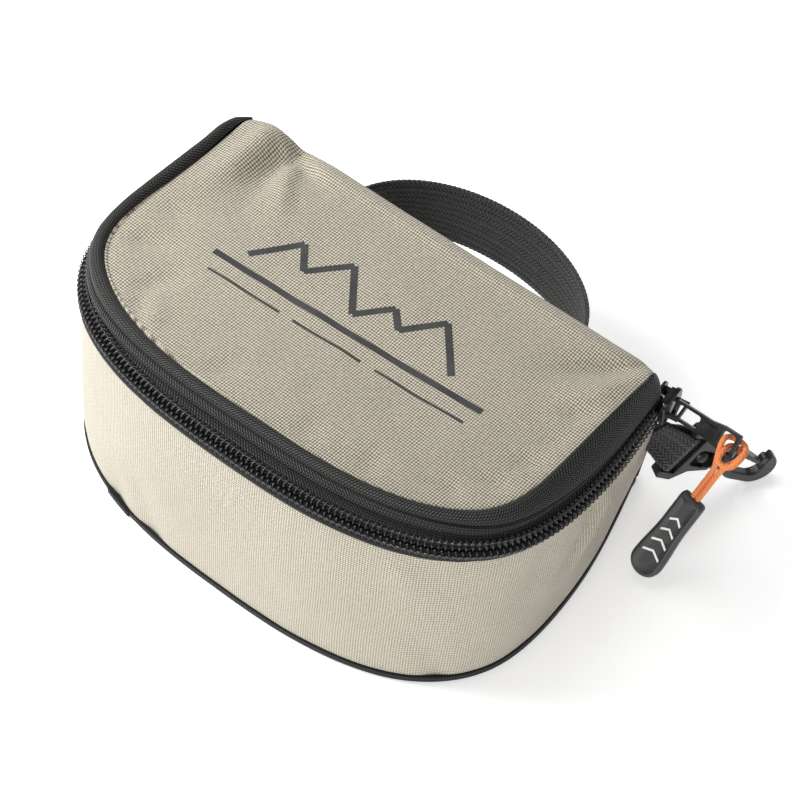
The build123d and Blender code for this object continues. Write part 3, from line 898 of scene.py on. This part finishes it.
def make_gusset():
    """The black band between the lid's seam and the zip: two padded ridges and the upper tape."""
    edge, zip_line, slope, normal = band_frame()
    side = outward(edge)
    up = np.array([0, 0, 1.0])
    # 1 beside the slider, where the band is one broad flat ridge, and 0 from the front round to the left.
    wide = (1 - smooth(COLUMN - SIDE_START, 4, 40)) * (COLUMN < COLUMNS // 2)
    # 1 along the band, and 0 past its two ends at the rear corners, where it thins and sinks.
    ends = (1 - smooth(COLUMN, SIDE_END - 3, SIDE_END + 4)) * smooth(COLUMN, SIDE_START - 6, SIDE_START - 1)
    room = LID_DEPTH - ZIP_LIFT - COIL_REACH
    fuller = 0.65 * smooth(COLUMN, 114, 136)
    half = RIDGE + fuller + wide * (np.maximum(room * 0.5 + 0.3, RIDGE) - RIDGE)
    height = RIDGE + 0.5 * fuller - 0.9 * wide
    level = np.zeros(COLUMNS)
    ripple = 0.10 * waves(61, GIRTH, level, 26) + 0.05 * waves(62, GIRTH, level, 9)
    centre = edge + side * (RIDGE_OUT + EDGE_OVERHANG + 0.7 * fuller - 0.5 * wide)[:, None] + up * RIDGE_RISE
    centre += slope * (half - RIDGE - fuller)[:, None] - normal * (1.2 * wide)[:, None]
    centre[:, 2] -= 4.0 * (1 - ends)

    def tube(middle, along_slope, off_slope, angles):
        for turn in np.radians(angles):
            yield (middle + slope * (along_slope * math.cos(turn))[:, None]
                   + normal * ((off_slope + ripple) * math.sin(turn))[:, None])

    size = 0.25 + 0.75 * ends
    rows = list(tube(centre, half * size, height * size, np.linspace(236, -62, 26)))
    gusset = band_mesh("lid_gusset_ridge", rows, "ridge", 0.5)
    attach(gusset, "lid")
    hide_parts("lid_gusset")
    second = (SECOND_RIDGE - 1.35 * wide) * size
    lower = centre + slope * (half * size + second - 0.45)[:, None] - normal * (1.25 - 0.5 * wide)[:, None]
    reach = np.einsum("ij,ij->i", lower - edge, slope) + second
    over = np.maximum(0, reach - (LID_DEPTH - ZIP_LIFT - COIL_REACH + 0.3))
    lower -= slope * over[:, None]
    rows = list(tube(lower, second, second, np.linspace(176, -50, 18)))
    for up_slope, lift in ((COIL_REACH + 0.1, 0.1), (COIL_REACH - 0.8, -0.05), (0.25, 0.0), (0.25, -1.0),
                           (2.5, -1.3), (5.0, -1.5)):
        rows.append(zip_line - slope * up_slope + normal * lift)
    upper = band_mesh("upper_tape", rows, "ridge", 0.35)
    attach(upper, "lid")
    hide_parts("zip_tape_upper")


def wall_lift(u, t):
    """How far the wall's cloth bulges, over the distance round the case and the height."""
    v = t * 70
    lift = 1.1 * np.sin(math.pi * np.clip(t, 0, 1)) ** 0.8
    lift = lift + 0.45 * waves(21, u, v, 75) * smooth(t, 0, 0.25) * (1 - smooth(t, 0.85, 1.0))
    lift = lift + 0.16 * waves(22, u, v, 22) * smooth(t, 0, 0.1)
    return folded(lift, u, v, WALL_FOLDS)


# Folds of the wall, over the distance from the rear centre and the height.
WALL_FOLDS = (
    ((128, 50), (142, 14), 3.6, -2.2),
    ((135, 55), (152, 20), 4.2, 1.8),
    ((143, 56), (158, 26), 3.2, -1.6),
    ((151, 57), (163, 28), 3.6, 1.0),
    ((168, 60), (177, 30), 4.0, -1.1),
    ((205, 4), (214, 36), 4.2, -1.2),
    ((222, 58), (212, 26), 5.0, 0.9),
    ((330, 3), (342, 34), 4.4, -1.3),
    ((352, 2), (349, 28), 4.2, -1.1),
    ((395, 60), (391, 30), 4.0, -1.0),
    ((430, 56), (442, 26), 4.0, -1.3),
)


def make_wall():
    """The beige wall round the sides and the rear."""
    top = 1 - 1.6 / WALL_DEPTH
    top = top + REAR * (1 - 1.7 / WALL_DEPTH - top)
    rows, cloth = [], []
    for s in np.linspace(0.0, 1.0, 30):
        t = 0.012 + (top - 0.012) * s
        lift = wall_lift(GIRTH, t) * (1 - 0.5 * REAR) + 0.1
        rows.append(on_side("base", "zip", t, lift))
        cloth.append(np.column_stack([GIRTH, t * WALL_DEPTH]))
    wall = rows_mesh("wall_cover", rows, cloth, "wall_canvas", "beige_canvas")
    thicken_outer(wall, 0.9)
    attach(wall, "case")
    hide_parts("side_wall", "rear_wall")


def make_lower_tape():
    """The lower zip tape: up over the wall's top edge to the coil and in over its rim to the lining."""
    _, zip_line, slope, normal = band_frame()
    low = 3.1 + 1.5 * (1 - ZIP_LIFT / ZIP_LIFT.max())

    def below_rim(down, off):
        return on_side("base", "zip", 1 - down / WALL_DEPTH, off)

    rows = [below_rim(low * part, off) for part, off in ((1.0, 0.5), (0.72, 1.15), (0.42, 1.3), (0.12, 1.15))]
    rows[0][:, 2] += 0.30 * np.abs(np.sin(GIRTH * math.pi / 2.2))
    for part, off in ((0.35, 0.75), (1.0, 0.1)):
        rows.append(RINGS["zip"] - slope * (ZIP_LIFT * part - 0.2)[:, None] + normal * off)
    rows.append(zip_line + slope * 0.3 - normal * 1.2)
    rows += [below_rim(down, off) for down, off in ((0.2, -2.6), (0.5, -3.6), (4.0, -3.95), (9.0, -3.95))]
    tape = band_mesh("lower_tape", rows, "tape", 0.35)
    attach(tape, "case")
    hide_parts("zip_tape_lower")


def make_coils():
    """The two halves of the nylon coil, each a flattened helix along the zip, with their stitch rows."""
    closed = np.arange(SIDE_START + 1, SIDE_END - 1)
    _, zip_line, slope, _ = (row[closed] for row in band_frame())
    down = unit(RINGS["base"] - RINGS["zip"])[closed]
    lifted = (ZIP_LIFT[closed] / ZIP_LIFT.max())[:, None]
    below = unit((down * 0.80 + slope * 0.62) * (1 - lifted) + (down * 0.35 + slope * 0.9) * lifted)
    tangent = along(RINGS["zip"])[closed]
    length = run_length(zip_line)
    pitch, per_turn = 2.3, 14
    s = np.arange(int(length[-1] / pitch) * per_turn + 1) * pitch / per_turn

    def at(values):
        return np.column_stack([np.interp(s, length, values[:, k]) for k in range(3)])

    for name, body, sign, direction, node, shift, reach in (
        ("upper_coil", "lid", 1, -slope, "zip_coil_upper", 0.0, 1.5),
        ("lower_coil", "case", -1, below, "zip_coil_lower", pitch / 2, 1.15),
    ):
        normal = unit(np.cross(direction, tangent) * sign)
        if np.einsum("ij,ij->i", normal, outward(RINGS["zip"])[closed]).mean() < 0:
            normal = -normal
        turn = (s + shift) / pitch * 2 * math.pi
        middle = at(zip_line) + at(direction) * (reach + 0.2) + at(normal) * 0.8
        path = middle + at(direction) * (reach * np.cos(turn))[:, None]
        path += at(normal) * (0.5 * np.sin(turn))[:, None] + at(tangent) * (0.35 * np.sin(turn))[:, None]
        coil = wire(name, path, 0.42, 0.42, 8, "coil", "zip_nylon")
        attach(coil, body)
        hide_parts(node)
        bump = 0.3 * np.sin(s / pitch * 2 * math.pi + shift)
        path = middle + at(direction) * 0.45 + at(normal) * (1.0 + bump)[:, None]
        row = wire(name + "_stitch", path, 0.34, 0.2, 8, "coil", "stitching")
        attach(row, body)


def make_binding():
    """Grosgrain binding round the base, with its ends overlapped, and up the two rear corners."""
    path = on_side("base", "zip", 1.8 / WALL_DEPTH, 0.4)
    side = outward(path)
    upward = np.broadcast_to([0.0, 0.0, 1.0], path.shape)
    path[:, 2] = 1.75 + 0.12 * waves(31, GIRTH, np.zeros(COLUMNS), 30)
    section = band_section(1.35, 0.6, 6)
    binding = swept("base_binding_tape", path, upward, side, section, "binding", "black_twill", closed=True)
    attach(binding, "case")
    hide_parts("base_binding")
    lap = slice(118, 124)
    over = path[lap] + side[lap] * 0.7 - [0, 0, 0.1]
    section = band_section(1.5, 0.5, 6)
    lapped = swept("binding_lap", over, upward[lap], side[lap], section, "binding", "black_twill")
    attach(lapped, "case")
    for name, column in (("corner_binding_right", SIDE_START - 3), ("corner_binding_left", SIDE_END + 3)):
        t = np.linspace(0.03, 0.9, 28)
        rows = np.array([on_side("base", "zip", k, 0.75)[column] for k in t])
        face = np.broadcast_to(outward(RINGS["zip"])[column], rows.shape)
        width = np.broadcast_to(along(RINGS["zip"])[column], rows.shape)
        taper = np.minimum(1, np.minimum(t - 0.02, 0.91 - t) * 40)
        section = band_section(1.6, 0.55, 4)
        strip = swept(name, rows, width, face, section, "binding", "black_twill", ends=taper)
        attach(strip, "case")


def make_base():
    """The cloth of the underside."""
    def height(x, y, share):
        return 0.25 + 0.35 * (1 - share) + 0.1 * waves(41, x, y, 40)

    rows, cloth = spread(np.zeros(2), RINGS["base"], np.linspace(0.05, 1.0, 16), height)
    base = rows_mesh("base_cover", rows, cloth, "underside", "black_twill", middle=True)
    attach(base, "case")
    thicken(base, -0.9)
    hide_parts("base_panel")


def make_case_lining():
    """The dark cloth inside the case, over the foam, from the floor up to the rim."""
    floor = 3.9                                 # top of the foam in the base

    def height(x, y, share):
        return floor - 0.15 + 0.25 * waves(51, x, y, 38)

    foot = on_side("base", "zip", floor / WALL_DEPTH, -3.6)
    rows, cloth = spread(np.array([0.0, 4.0]), foot, np.linspace(0.05, 0.97, 14), height)
    low = floor / WALL_DEPTH + 0.012
    top = 1 - (3.2 - 1.4 * REAR) / WALL_DEPTH
    for part in np.linspace(0, 1, 16):
        t = low + (top - low) * part
        ripple = 0.3 * waves(52, GIRTH, t * 70, 30) * math.sin(math.pi * part)
        rows.append(on_side("base", "zip", t, -3.65 - ripple))
        cloth.append(np.column_stack([GIRTH, t * WALL_DEPTH]))
    rim = 1 - (0.9 + 0.6 * REAR) / WALL_DEPTH
    for off, more in ((-3.0, 1.5), (-0.9, 2.0)):
        rows.append(on_side("base", "zip", rim, off))
        cloth.append(cloth[-1] + [0, more])
    inner = rows_mesh("case_lining_cloth", rows, cloth, "lining", "black_lining", middle=True)
    thicken(inner, -0.4)
    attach(inner, "case")
    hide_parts("base_padding", "base_lining", "wall_padding", "rear_padding", "wall_lining",
                "rear_lining")


def make_lid_lining(settle):
    """The dark cloth inside the lid, over the foam, from under its top down to the zip."""
    under = 4.6                                 # from the lid's plane to its lining

    def height(x, y, share):
        z = plane_height(LID, y) - under + 0.3 * waves(53, x, y, 36)
        return z + np.minimum(0, lid_lift(x, y, settle)) * (1 - smooth(share, 0.8, 0.97))

    slope = RINGS["zip"] - RINGS["lid"]
    start = -under / (slope[:, 2] + LID["rise"] * slope[:, 1])
    corner = on_side("zip", "lid", 1 - start, -1.9)
    rows, cloth = spread(LID_CENTRE, corner, np.linspace(0.05, 0.97, 14), height)
    for part in np.linspace(0.1, 1, 8):
        t = start + (1 - (0.5 + 1.2 * REAR) / LID_DEPTH - start) * part
        rows.append(on_side("zip", "lid", 1 - t, -1.9))
        cloth.append(np.column_stack([GIRTH, 200 + t * LID_DEPTH]))
    rows.append(on_side("zip", "lid", (0.4 + 1.2 * REAR) / LID_DEPTH, -0.7))
    cloth.append(cloth[-1] + [0, 1.2])
    roof = rows_mesh("lid_lining_cloth", rows, cloth, "lining", "black_lining", middle=True)
    thicken(roof, 0.4)
    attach(roof, "lid")
    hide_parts("lid_padding", "lid_lining", "gusset_lining")


def make_hinge():
    """The soft strip of cloth along the spine, on which the lid opens."""
    half, reach = ZIP["rear_half"] - 5.0, 4.2
    xs = np.linspace(-half, half, 90)
    end = smooth(np.abs(xs), half - 9, half)
    rows, cloth = [], []
    for z in np.linspace(ZIP["z"] - reach, ZIP["z"] + reach, 13):
        dip = -0.25 * math.exp(-((z - ZIP["z"]) / 1.6) ** 2)
        level = np.full(len(xs), z)
        rows.append(np.column_stack([xs, 65.95 + dip - 2.4 * end, level]))
        cloth.append(np.column_stack([xs, level]))
    fold = rows_mesh("spine_cloth", rows, cloth, "lid_canvas", "beige_canvas", False)
    thicken_outer(fold, 1.0)
    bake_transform(fold)
    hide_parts("spine_fold")


# ---------------------------------------------------------------- print on the lid


def make_print(cover):
    """A plain printed motif: two long bars and a row of ridge lines, laid on the cloth."""
    tree = BVHTree.FromObject(cover, bpy.context.evaluated_depsgraph_get())
    strokes = [[(-60.0, 3.0), (6.0, 6.0), 1.3], [(6.0, 6.0), (58.0, 8.4), 1.3]]
    peaks = [(-50, 10), (-38, 27), (-30, 17), (-18, 31), (-4, 13), (6, 25), (13, 18), (24, 32), (40, 14)]
    strokes += [[a, b, 1.35] for a, b in zip(peaks, peaks[1:])]
    dashes = [(-56, -4.5), (-24, -3.1)], [(-18, -2.8), (12, -1.5)], [(18, -1.2), (56, 0.5)]
    strokes += [[a, b, 0.55] for a, b in dashes]
    cross = 3                                   # faces across a stroke
    verts, faces, cloth = [], [], []
    for (ax, ay), (bx, by), half in strokes:
        length = math.hypot(bx - ax, by - ay)
        dx, dy = (bx - ax) / length, (by - ay) / length
        count = max(3, int(length / 1.5))
        first = len(verts)
        for i in range(count + 1):
            for j in range(cross + 1):
                across = half * (2 * j / cross - 1)
                x = ax + dx * length * i / count - dy * across
                y = ay + dy * length * i / count + dx * across
                hit = tree.ray_cast(Vector((x * MM, y * MM, 0.2)), Vector((0, 0, -1)))[0]
                verts.append((x, y, hit.z / MM + 0.07))
                cloth.append((x, y))
        faces += [tuple(first + k for k in face) for face in grid_faces(count + 1, cross + 1)]
    mark = finish_mesh("lid_print", verts, faces, cloth, "ink")
    if sum(p.normal.z for p in mark.data.polygons) < 0:
        mark.data.flip_normals()
    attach(mark, "lid")


# ---------------------------------------------------------------- handle and hook tab

HANDLE_HALF, HANDLE_LOW, HANDLE_HIGH = 55.0, 29.5, 36.5
HANDLE_Z = (25.0, 50.0)
WEBBING = 1.6                   # thickness of the handle's webbing
HANDLE_WALL = 66.6              # the rear wall's face, where the tabs lie
SCALLOP, SCALLOP_PITCH = 0.28, 1.9


def handle_line(rise, height):
    """The middle line of the webbing at one height: a tab, the bow and the other tab."""
    half, top = HANDLE_HALF - WEBBING / 2, rise - WEBBING / 2
    turns = np.linspace(0.11, math.pi - 0.11, 100)
    bow = np.column_stack([half * np.cos(turns), HANDLE_WALL + top * np.sin(turns)])
    foot = HANDLE_WALL + WEBBING / 2
    tab = np.array([(68.0, foot), (65.0, foot), (62.0, foot), (59.0, foot), (56.6, foot + 0.15),
                    (55.0, foot + 0.9), (54.3, foot + 1.9)])
    line = np.vstack([tab, bow, tab[::-1] * [-1, 1]])
    return np.column_stack([line, np.full(len(line), height)])


def make_handle():
    """The bowed webbing with its scalloped selvedge, and the zigzag stitching on its two tabs."""
    low, high = handle_line(HANDLE_LOW, HANDLE_Z[0]), handle_line(HANDLE_HIGH, HANDLE_Z[1])
    path = (low + high) / 2
    across = unit(high - low)
    width = np.linalg.norm(high - low, axis=1)
    normal = np.cross(across, unit(np.gradient(path, axis=0)))
    s = run_length(path)
    fine = np.linspace(0, s[-1], len(path) * 4)

    def resample(values):
        return np.column_stack([np.interp(fine, s, column) for column in values.T])

    selvedge = np.interp(fine, s, width) / 2 - 0.45 + SCALLOP * np.abs(np.sin(math.pi * fine / SCALLOP_PITCH))
    sections = [band_section(half, WEBBING / 2 - 0.05, 10) for half in selvedge]
    strap = swept("handle_strap", resample(path), resample(across), resample(normal), sections,
                  "webbing", "black_webbing")
    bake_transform(strap)
    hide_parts("handle_webbing", "handle_ends")
    stitches = np.arange(46)
    for side, name in ((-1, "bartack_left"), (1, "bartack_right")):
        x = side * (61.0 + np.where(stitches % 2, 2.6, -2.6))
        off = np.full(len(stitches), HANDLE_WALL + WEBBING + 0.22)
        path = np.column_stack([x, off, 28.5 + 18.0 * stitches / 45])
        tack = wire(name, path, 0.24, 0.24, 6, "thread", "stitching")
        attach(tack, "case")
        if side < 0:
            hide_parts("handle_bartacks")


def make_hook_tab():
    """Webbing from the rear corner seam, folded round the hook's bar."""
    joint = next(j for j in frame["joints"] if j["child"] == "hook_frame")
    bar = np.array(joint["pos_m"]) / MM
    direction = unit(np.array(joint["axis"], float))
    if direction[2] > 0:
        direction = -direction
    drop = np.array([0, 0, -1.0])
    axis = unit(drop - direction * drop.dot(direction))
    out = np.cross(axis, direction)
    wall = np.array([94.2, 60.2, 40.5])
    legs = []
    for side in (1, -1):
        leg = []
        for k in np.linspace(0, 1, 14):
            centre = wall + (bar - axis * 0.6 - wall) * k + out * side * (0.85 + 1.5 * smooth(k, 0.3, 1.0))
            leg.append((centre, unit(drop * (1 - smooth(k, 0, 1)) + direction * smooth(k, 0, 1))))
        legs.append(leg)
    loop = [(bar + axis * 2.5 * math.cos(turn) + out * 2.5 * math.sin(turn), direction)
            for turn in np.radians([75, 50, 25, 0, -25, -50, -75])]
    path, across = (np.array(values) for values in zip(*legs[0], *loop, *reversed(legs[1])))
    tangent = unit(np.gradient(path, axis=0))
    normal = unit(np.cross(across, tangent))
    across = np.cross(tangent, normal)
    section = band_section(8.7, 0.6, 10)
    tab = swept("hook_tab_webbing", path, across, normal, section, "webbing", "black_webbing")
    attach(tab, "case")
    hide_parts("hook_tab")


# ---------------------------------------------------------------- CAD pieces, stage and light

# The CAD nodes that stay in view, and their materials.
KEPT = dict(
    zip_end_stop="slider",
    slider_body="slider",
    slider_bail="slider",
    puller="puller",
    hook_base="hook",
    snap_hook="hook",
    hook_gate="hook",
)


def dress_cad():
    """Gives the CAD pieces that stay in view their own materials."""
    for node, material in KEPT.items():
        obj = NODES[node]
        obj.data.materials.clear()
        obj.data.materials.append(MATERIALS[material])


def make_stage():
    """A white floor just under the case."""
    data = bpy.data.meshes.new("floor")
    half = 3.0
    corners = [(-half, -half, 0), (half, -half, 0), (half, half, 0), (-half, half, 0)]
    data.from_pydata(corners, [], [(0, 1, 2, 3)])
    floor = new_object("floor", data)
    floor.location.z = CAD_BOX[0][2] - 0.0002
    g = Graph("floor_paper", Roughness=0.9, Specular_IOR_Level=0.1)
    speck = g.noise(g.place(), 60.0, 2.0)
    g.finish(g.mix(g.ramp(speck, 0.3, 0.7), (0.93, 0.93, 0.93, 1), (0.95, 0.95, 0.95, 1)))
    g.shader.inputs["Emission Color"].default_value = (1, 1, 1, 1)
    g.shader.inputs["Emission Strength"].default_value = 0.42
    data.materials.append(g.material)


def area_light(name, location, size, power):
    """A white square light that faces the middle of the case."""
    data = bpy.data.lights.new(name, "AREA")
    data.size, data.energy = size, power
    light = new_object(name, data)
    light.location = location
    toward = Vector(location) - Vector((0, 0, 0.03))
    light.rotation_euler = toward.to_track_quat("Z", "Y").to_euler()


def make_light():
    """A soft white studio: a dim white world and three lights."""
    world = bpy.data.worlds.new("studio")
    world.use_nodes = True
    background = world.node_tree.nodes["Background"]
    background.inputs["Color"].default_value = (1, 1, 1, 1)
    background.inputs["Strength"].default_value = 0.30
    bpy.context.scene.world = world
    area_light("key", (-0.46, -0.16, 0.50), 0.32, 5.1)
    area_light("top", (-0.4, 0.4, 1.6), 0.8, 7.0)
    area_light("fill", (0.4, -1.5, 0.42), 1.0, 15.0)
    bpy.context.scene.view_settings.view_transform = "Standard"
    bpy.context.scene.view_settings.look = "None"


make_camera()
make_cord()
make_tag()
settle = settled_lid()
cover = make_lid_cover(settle)
make_gusset()
make_coils()
make_lower_tape()
make_wall()
make_binding()
make_base()
make_case_lining()
make_lid_lining(settle)
make_hinge()
make_print(cover)
make_handle()
make_hook_tab()
dress_cad()
make_stage()
make_light()
